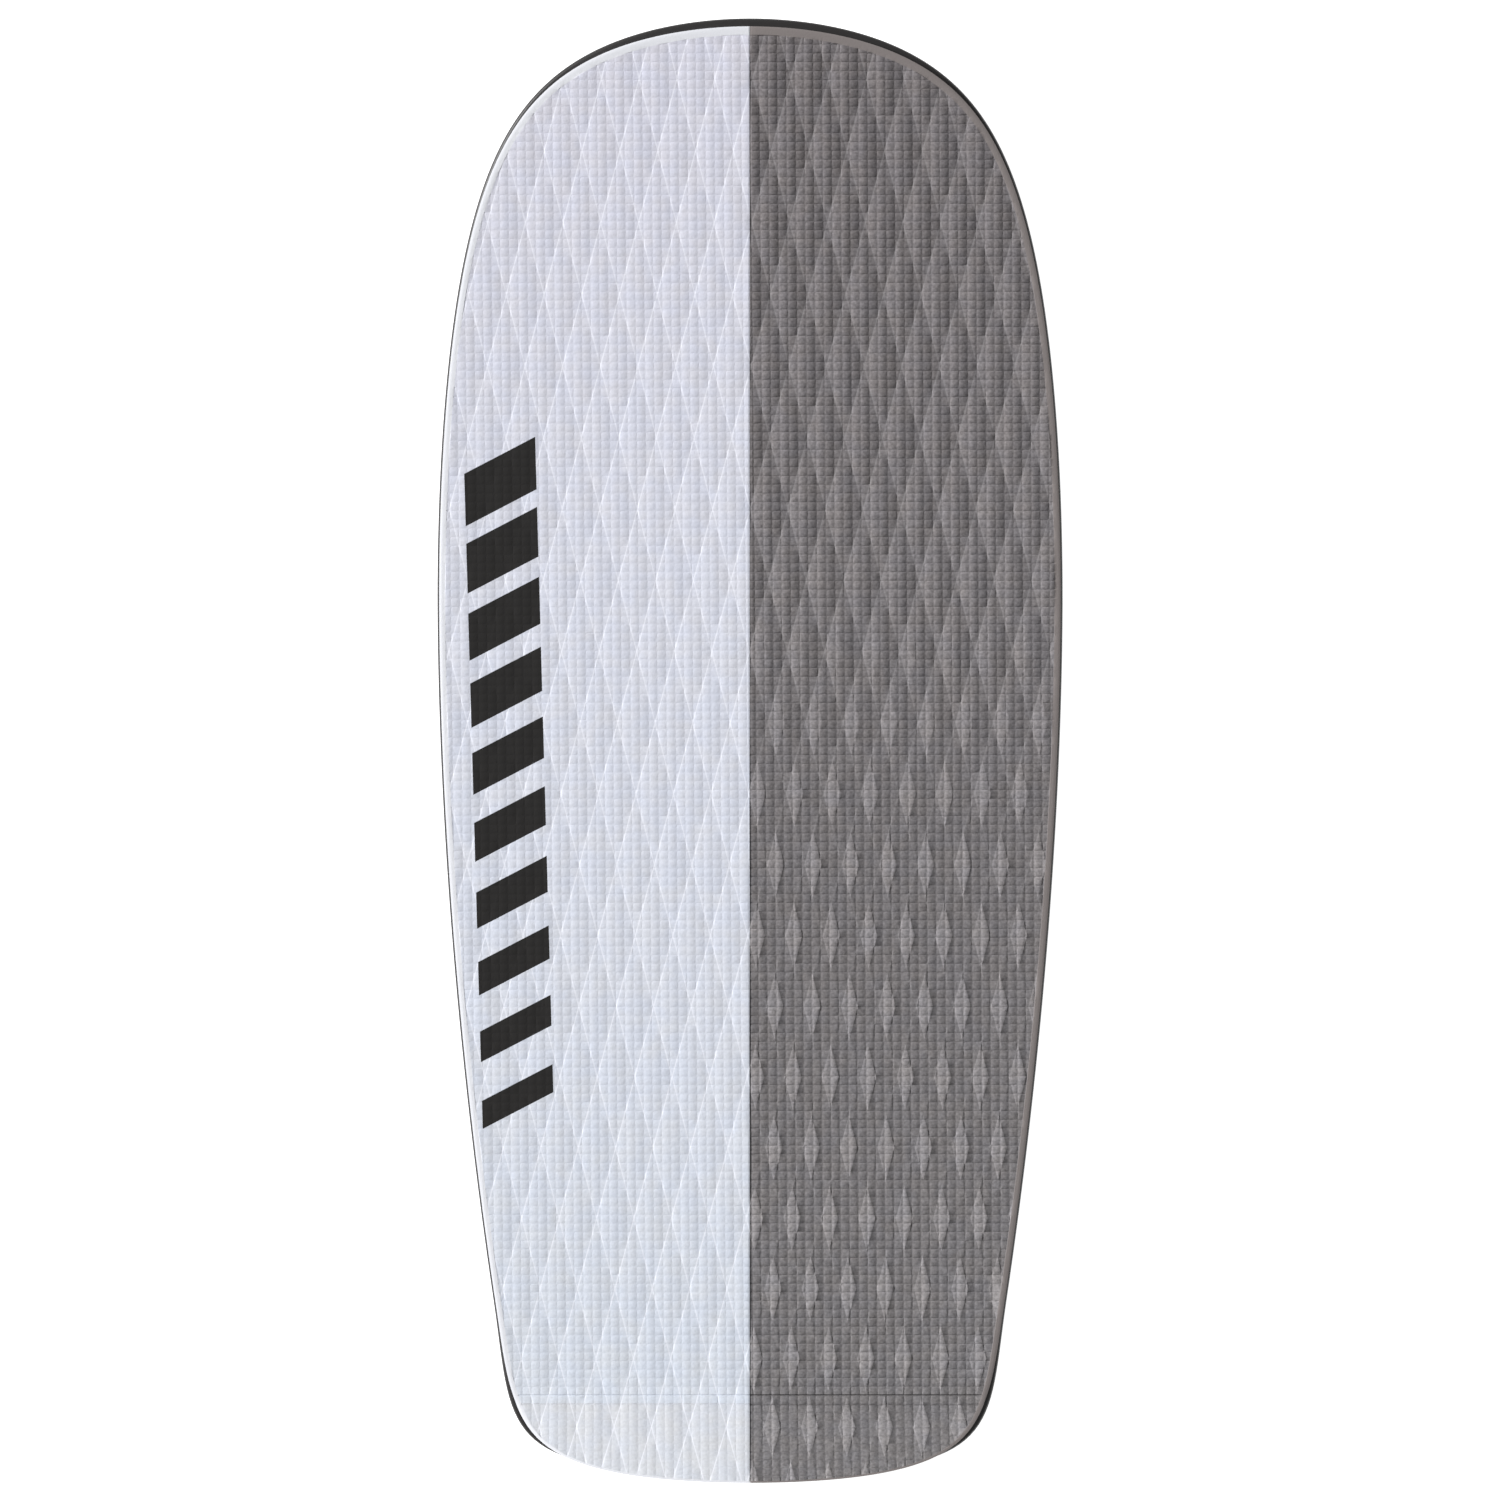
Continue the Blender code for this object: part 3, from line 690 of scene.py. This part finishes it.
def triangulated(points, links, outline):
    """Triangles between all the lines, kept where they lie inside the outline: (flat points, faces)."""
    flat, _, faces, _, _, owners = delaunay_2d_cdt(points, links, [outline], 1, MERGE_DISTANCE)
    kept = np.array([face for face, owner in zip(faces, owners) if owner])
    used, faces = np.unique(kept, return_inverse=True)
    flat = np.array([(point.x, point.y) for point in flat])[used]
    return flat, [tuple(face) for face in faces.reshape(-1, 3).tolist()]


def make_pad(name, direction, relief, material, replaced):
    """One half of the deck pad, with its grooves, pressed diamonds and bevelled border."""
    edge, steps = pad_outline(direction)
    widths = border_widths(steps)
    inner_x = direction * GAP / 2
    outline = np.array([(inner_x, edge[0, 1]), *edge[1:-1], (inner_x, edge[-1, 1])])
    points = [Vector(point) for point in outline]
    face = list(range(len(points)))
    links = [(index, (index + 1) % len(face)) for index in face]

    def add_path(path):
        start = len(points)
        points.extend(Vector((float(x), float(s))) for x, s in path)
        links.extend((start + index, start + index + 1) for index in range(len(path) - 1))

    for inset in (widths, widths + BORDER_FADE, BEVEL_WIDTH, BEVEL_WIDTH / 2):
        add_path(edge + steps * np.broadcast_to(inset, len(edge))[:, None])
    seam_x = direction * SEAM_BEVEL
    add_path([(seam_x, edge[:, 1].max() + GAP), (seam_x, edge[:, 1].min() - GAP)])
    for line in pattern_lines(edge, relief):
        add_path(line)
    flat, faces = triangulated(points, links, face[:: -direction])
    distance, width = edge_distance(flat, edge, widths)
    field = np.clip((distance - width) / BORDER_FADE, 0, 1)
    pressed = lattice_height(flat[:, 0], flat[:, 1], relief) - relief["rise"] / 2
    height = field * (pressed - groove_depth(flat[:, 0], flat[:, 1], relief))
    height -= BEVEL_DROP * np.clip(1 - distance / BEVEL_WIDTH, 0, 1) ** 2
    height -= SEAM_DROP * np.clip(1 - np.abs(flat[:, 0]) / SEAM_BEVEL, 0, 1) ** 2
    top = pad_surface(flat[:, 0], flat[:, 1], height)
    mesh = closed_sheet(name, flat, top, faces, outline)
    count = len(flat)
    inside = np.zeros(len(mesh.vertices))
    inside[:count] = field
    mesh.attributes.new("field", "FLOAT", "POINT").data.foreach_set("value", inside)
    smooth(mesh, relief["crisp"])
    return new_object(name, mesh, material, replaced=replaced)


# Materials. All of them are procedural.


class Nodes:
    """Adds nodes to one material and links them: every call gives back its output socket."""

    def __init__(self, name):
        self.material = bpy.data.materials.new(name)
        self.material.use_nodes = True
        self.tree = self.material.node_tree
        self.shader = self.tree.nodes["Principled BSDF"]

    def add(self, kind, inputs=(), output=0, **settings):
        node = self.tree.nodes.new(kind)
        for key, value in settings.items():
            setattr(node, key, value)
        for key, value in dict(inputs).items():
            self.set(node.inputs[key], value)
        return node.outputs[output]

    def set(self, socket, value):
        if isinstance(value, bpy.types.NodeSocket):
            self.tree.links.new(value, socket)
        else:
            socket.default_value = value

    def math(self, operation, first, second=0.0, third=0.0, clamp=False):
        inputs = {0: first, 1: second, 2: third}
        return self.add("ShaderNodeMath", inputs, operation=operation, use_clamp=clamp)

    def mix(self, share, first, second, blend="MIX"):
        """Mixes two colours. A Mix node's colour sockets are inputs 6 and 7 and output 2."""
        node = self.tree.nodes.new("ShaderNodeMix")
        node.data_type = "RGBA"
        node.blend_type = blend
        for index, value in ((0, share), (6, first), (7, second)):
            self.set(node.inputs[index], value)
        return node.outputs[2]

    def multiply(self, first, second):
        return self.mix(1.0, first, second, "MULTIPLY")

    def noise(self, size, detail=2.0):
        """Noise of about 0 to 1 whose blobs are `size` metres across."""
        place = self.add("ShaderNodeTexCoord", output="Object")
        scaled = self.add("ShaderNodeMapping", {"Vector": place, "Scale": [1 / size] * 3})
        inputs = {"Vector": scaled, "Scale": 1.0, "Detail": detail}
        return self.add("ShaderNodeTexNoise", inputs, output="Fac")

    def ramp(self, value, low, high):
        return self.add("ShaderNodeMapRange", {"Value": value, "From Min": low, "From Max": high})

    def bump(self, height, distance):
        return self.add("ShaderNodeBump", {"Height": height, "Distance": distance, "Strength": 1.0})


def shade(colour, factor):
    return (*[channel * factor for channel in colour], 1.0)


def finish_material(name, colour, roughness, metallic=0.0, mottle=(0.05, 0.02), grain=(0.0002, 0.00002)):
    """A base colour with soft blotches (share, size), and a fine grain (size, depth)."""
    nodes = Nodes(name)
    share, size = mottle
    blotch = nodes.noise(size)
    base = nodes.mix(blotch, shade(colour, 1 - share), shade(colour, 1 + share))
    low = roughness - ROUGHNESS_SPREAD / 2
    nodes.set(nodes.shader.inputs["Base Color"], base)
    nodes.set(nodes.shader.inputs["Roughness"], nodes.math("MULTIPLY_ADD", blotch, ROUGHNESS_SPREAD, low))
    nodes.set(nodes.shader.inputs["Metallic"], metallic)
    nodes.set(nodes.shader.inputs["Normal"], nodes.bump(nodes.noise(grain[0]), grain[1]))
    return nodes.material


def line_weight(nodes, coordinate, pitch, half_width):
    """1 on every whole number of `coordinate`, fading to 0 at half_width (metres) from it."""
    off = nodes.math("ABSOLUTE", nodes.math("SUBTRACT", coordinate, nodes.math("ROUND", coordinate)))
    return nodes.math("SUBTRACT", 1.0, nodes.math("DIVIDE", off, half_width / pitch), clamp=True)


def pattern_place(nodes):
    """The place (x, s) of a point, from the sheet's flat coordinates."""
    place = nodes.add("ShaderNodeSeparateXYZ", {0: nodes.add("ShaderNodeUVMap", uv_map="pattern")})
    return place, place.node.outputs[1]


def lattice_place(nodes, x, s):
    """Coordinates a and b of the diamond lattice, as in lattice_coordinates."""
    shift = nodes.math("MULTIPLY_ADD", s, -LATTICE_LEAN, LATTICE_X + LATTICE_LEAN * LATTICE_S)
    across = nodes.math("DIVIDE", nodes.math("SUBTRACT", x, shift), LATTICE_PX)
    along = nodes.math("DIVIDE", nodes.math("SUBTRACT", s, LATTICE_S), LATTICE_PS)
    return nodes.math("ADD", across, along), nodes.math("SUBTRACT", across, along)


def lattice_lines(nodes, a, b):
    """1 along the pressed diamond lines."""
    first = line_weight(nodes, a, LATTICE_PX, LINE_HALF)
    second = line_weight(nodes, b, LATTICE_PX, LINE_HALF)
    return nodes.math("MAXIMUM", nodes.math("MULTIPLY", first, LINE_SHARE_A), second)


def painted_diamond_shading(nodes, a, b):
    """Painted light and shade: 1 on the left of each diamond, the side that faces the key light, and 0 on its
    right.
    """
    return nodes.add(
        "ShaderNodeMapRange",
        {
            "Value": nodes.math("ADD", nodes.math("FRACT", a), nodes.math("FRACT", b)),
            "From Min": PAINTED_LIGHT_UNTIL,
            "From Max": PAINTED_SHADE_FROM,
            "To Min": 1.0,
            "To Max": 0.0,
        },
        interpolation_type="SMOOTHSTEP",
    )


def small_diamonds(nodes, a, b, s):
    """How far the small raised diamonds have taken over at s, and 1 on those diamonds."""
    share = nodes.add(
        "ShaderNodeMapRange",
        {"Value": s, "From Min": PLATEAU_NONE_S, "From Max": PLATEAU_FULL_S},
        interpolation_type="SMOOTHSTEP",
    )
    outer = nodes.math("MAXIMUM", nodes.math("FRACT", a), nodes.math("FRACT", b))
    return share, nodes.math("MULTIPLY", share, nodes.math("LESS_THAN", outer, PLATEAU_SIZE))


def painted_groove_highlights(nodes, x, s):
    """Painted highlight: 1 on the lit walls of the square grooves, which are made paler."""
    right_wall = GROOVE_X + GROOVE_HALF_X * LIT_WALL_PLACE + GROOVE_LEAN * GROOVE_S
    tail_wall = GROOVE_S - GROOVE_HALF_S * LIT_WALL_PLACE
    shift = nodes.math("MULTIPLY_ADD", s, -GROOVE_LEAN, right_wall)
    across = nodes.math("DIVIDE", nodes.math("SUBTRACT", x, shift), GROOVE_PITCH_X)
    along = nodes.math("DIVIDE", nodes.math("SUBTRACT", s, tail_wall), GROOVE_PITCH_S)
    first = line_weight(nodes, across, GROOVE_PITCH_X, GROOVE_HALF_X)
    second = line_weight(nodes, along, GROOVE_PITCH_S, GROOVE_HALF_S)
    return nodes.math("MAXIMUM", first, nodes.math("MULTIPLY", second, CROSS_WALL_HIGHLIGHT))


def print_mask(nodes, x, s):
    """1 on the printed bars."""
    low, high = PRINT_X
    top_s = PRINT_S + PRINT_BARS * PRINT_PITCH
    shift = nodes.math("MULTIPLY_ADD", s, -PRINT_LEAN, low + PRINT_LEAN * top_s)
    across = nodes.math("DIVIDE", nodes.math("SUBTRACT", x, shift), high - low)
    along = nodes.math("DIVIDE", nodes.math("SUBTRACT", s, PRINT_S), PRINT_PITCH)
    slanted = nodes.math("MULTIPLY_ADD", across, -PRINT_SLANT, along)
    count = nodes.math("FLOOR", slanted)
    thinnest, thickest = PRINT_FILL
    growth = (thickest - thinnest) / (PRINT_BARS - 1)
    fill = nodes.math("MULTIPLY_ADD", count, growth, thinnest)
    inside = nodes.math("LESS_THAN", nodes.math("FRACT", slanted), fill)
    for value, limit in ((across, 1), (count, PRINT_BARS - 1)):
        above = nodes.math("GREATER_THAN", value, -PRINT_MARGIN)
        below = nodes.math("LESS_THAN", value, limit + PRINT_MARGIN)
        inside = nodes.math("MULTIPLY", inside, nodes.math("MULTIPLY", above, below))
    return inside


def grey(value):
    return (value, value, value, 1)


def pad_material(name, foam, printed):
    """EVA foam, with the print on the light half and the small raised diamonds on the dark one."""
    nodes = Nodes(name)
    x, s = pattern_place(nodes)
    a, b = lattice_place(nodes, x, s)
    colour = nodes.mix(nodes.ramp(s, NOSE_Y, TAIL_Y), foam["nose"], foam["tail"])
    blotch = nodes.ramp(nodes.noise(BLOTCH_SIZE, detail=3.0), *BLOTCH_RANGE)
    colour = nodes.multiply(colour, nodes.mix(blotch, COOL_TINT, WARM_TINT))
    # Painted light and shade: each diamond's left side, facing the key light, is made paler and its right
    # side darker
    painted_shading = painted_diamond_shading(nodes, a, b)
    lines = nodes.math("MULTIPLY", lattice_lines(nodes, a, b), foam["line_share"])
    if not printed:
        share, small = small_diamonds(nodes, a, b, s)
        painted_shading = nodes.math("MULTIPLY", painted_shading, nodes.math("SUBTRACT", 1.0, share))
        # Painted light: the small raised diamonds are made paler, as faces tilted to the key light
        colour = nodes.multiply(colour, nodes.mix(small, grey(1.0), grey(SMALL_DIAMOND_PAINTED_LIGHT)))
        lines = nodes.math("MULTIPLY", lines, nodes.ramp(s, LINES_GONE_S, PLATEAU_NONE_S))
    colour = nodes.multiply(colour, nodes.mix(painted_shading, grey(foam["painted_shade_side"]), grey(foam["painted_light_side"])))
    # Painted highlight on the lit walls of the square grooves
    walls = nodes.mix(painted_groove_highlights(nodes, x, s), grey(1.0), grey(foam["groove"]))
    colour = nodes.multiply(colour, walls)
    # Painted shade: the kick behind the crease, which faces the key light, is made darker
    behind = nodes.math("LESS_THAN", s, CREASE_Y)
    colour = nodes.multiply(colour, nodes.mix(behind, grey(1.0), foam["kick"]))
    grain = nodes.ramp(nodes.noise(GRAIN_SIZE), *GRAIN_RANGE)
    colour = nodes.multiply(colour, nodes.mix(grain, grey(1 - foam["grain"]), grey(1 + foam["grain"])))
    colour = nodes.mix(lines, colour, foam["line"])
    field = nodes.add("ShaderNodeAttribute", attribute_name="field", output="Fac")
    colour = nodes.mix(field, foam["border"], colour)
    if printed:
        colour = nodes.mix(print_mask(nodes, x, s), colour, PRINT_COLOUR)
    nodes.set(nodes.shader.inputs["Base Color"], colour)
    nodes.set(nodes.shader.inputs["Roughness"], FOAM_ROUGHNESS)
    nodes.set(nodes.shader.inputs["Specular IOR Level"], FOAM_SHINE)
    nodes.set(nodes.shader.inputs["Normal"], nodes.bump(nodes.noise(PORE_SIZE, detail=4.0), PORE_DEPTH))
    return nodes.material


def make_materials():
    """Every material by its key. The plain ones are (colour, roughness, settings)."""
    plain = {
        "wedge_eva": ((0.175, 0.165, 0.168), 0.85, {"grain": (0.0012, 0.0002)}),
        "laminate_black": (
            (0.018, 0.0165, 0.0165),
            0.42,
            {"mottle": (0.10, 0.05), "grain": (0.003, 0.00006)},
        ),
        "sandwich_foam": ((0.72, 0.60, 0.30), 0.8, {}),
        "white_foam": ((0.86, 0.87, 0.88), 0.8, {"grain": (0.004, 0.0003)}),
        "dense_foam": ((0.45, 0.50, 0.38), 0.8, {}),
        "black_nylon": ((0.03, 0.03, 0.03), 0.5, {"grain": (0.0008, 0.00005)}),
        "stainless": ((0.60, 0.60, 0.58), 0.3, {"metallic": 1.0, "mottle": (0.04, 0.004)}),
        "brass": ((0.72, 0.52, 0.22), 0.3, {"metallic": 1.0, "mottle": (0.06, 0.004)}),
        "seal_rubber": ((0.02, 0.02, 0.02), 0.7, {}),
        "membrane_white": ((0.85, 0.85, 0.83), 0.9, {"grain": (0.0003, 0.00003)}),
    }
    made = {
        "pad_light": pad_material("light_grey_eva_foam", LIGHT_FOAM, printed=True),
        "pad_dark": pad_material("dark_grey_eva_foam", DARK_FOAM, printed=False),
    }
    for key, (colour, roughness, settings) in plain.items():
        made[key] = finish_material(key, colour, roughness, **settings)
    return made


def dress_nodes(frame, materials):
    """Gives every CAD node that stays visible its material."""
    for key, names in NODE_MATERIALS.items():
        for name in names:
            for slot in frame["nodes"][name].material_slots:
                slot.material = materials[key]


# Studio


def make_floor():
    """A white floor that glows, as an overexposed studio sweep does."""
    nodes = Nodes("white_floor")
    nodes.set(nodes.shader.inputs["Base Color"], grey(FLOOR_GREY))
    nodes.set(nodes.shader.inputs["Roughness"], 1.0)
    nodes.set(nodes.shader.inputs["Emission Color"], grey(1.0))
    nodes.set(nodes.shader.inputs["Emission Strength"], FLOOR_GLOW)
    reach = FLOOR_REACH
    corners = [(-reach, -reach, 0), (reach, -reach, 0), (reach, reach, 0), (-reach, reach, 0)]
    mesh = bpy.data.meshes.new("floor")
    mesh.from_pydata(corners, [], [(0, 1, 2, 3)])
    mesh.materials.append(nodes.material)
    sweep = bpy.data.objects.new("floor", mesh)
    sweep.location.z = -FLOOR_DROP
    bpy.context.scene.collection.objects.link(sweep)


def make_world():
    world = bpy.data.worlds.new("white_studio")
    world.use_nodes = True
    tree = world.node_tree
    background = tree.nodes["Background"]
    background.inputs["Color"].default_value = (1, 1, 1, 1)
    path = tree.nodes.new("ShaderNodeLightPath")
    strength = tree.nodes.new("ShaderNodeMapRange")
    strength.inputs["To Min"].default_value = SKY_STRENGTH
    strength.inputs["To Max"].default_value = 1.0
    tree.links.new(path.outputs["Is Camera Ray"], strength.inputs["Value"])
    tree.links.new(strength.outputs[0], background.inputs["Strength"])
    bpy.context.scene.world = world


def make_key_light():
    light = bpy.data.lights.new("key", "SUN")
    light.energy = KEY_STRENGTH
    light.angle = KEY_SOFTNESS
    lamp = bpy.data.objects.new("key", light)
    flat = cos(KEY_ELEVATION)
    towards = Vector((-flat * cos(KEY_AZIMUTH), flat * sin(KEY_AZIMUTH), sin(KEY_ELEVATION)))
    lamp.rotation_euler = towards.to_track_quat("Z", "Y").to_euler()
    bpy.context.scene.collection.objects.link(lamp)


def make_camera():
    """A long lens straight above the board, leaning a little towards the nose."""
    data = bpy.data.cameras.new("camera")
    data.sensor_width = SENSOR_MM
    data.lens = SENSOR_MM * VIEW_DISTANCE / VIEW_HEIGHT
    data.clip_end = CLIP_END
    camera = bpy.data.objects.new("camera", data)
    direction = Vector((0, sin(VIEW_LEAN), cos(VIEW_LEAN)))
    camera.location = Vector(VIEW_CENTRE) + direction * VIEW_DISTANCE
    camera.rotation_euler = (-VIEW_LEAN, 0, 0)
    bpy.context.scene.collection.objects.link(camera)
    bpy.context.scene.camera = camera


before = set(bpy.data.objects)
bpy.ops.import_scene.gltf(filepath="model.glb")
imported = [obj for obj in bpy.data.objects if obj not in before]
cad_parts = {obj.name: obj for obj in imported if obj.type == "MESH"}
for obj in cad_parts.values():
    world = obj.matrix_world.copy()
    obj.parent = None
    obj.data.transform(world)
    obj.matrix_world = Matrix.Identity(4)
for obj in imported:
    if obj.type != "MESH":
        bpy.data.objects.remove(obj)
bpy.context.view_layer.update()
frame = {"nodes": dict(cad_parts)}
materials = make_materials()
dress_nodes(frame, materials)
make_hull(materials["laminate_black"])
make_pad("light_pad_surface", -1, LIGHT_RELIEF, materials["pad_light"], ("deck_pad_left",))
make_pad("dark_pad_surface", 1, DARK_RELIEF, materials["pad_dark"], ("deck_pad_right",))
make_floor()
make_world()
make_key_light()
make_camera()
bpy.context.scene.view_settings.view_transform = "Standard"
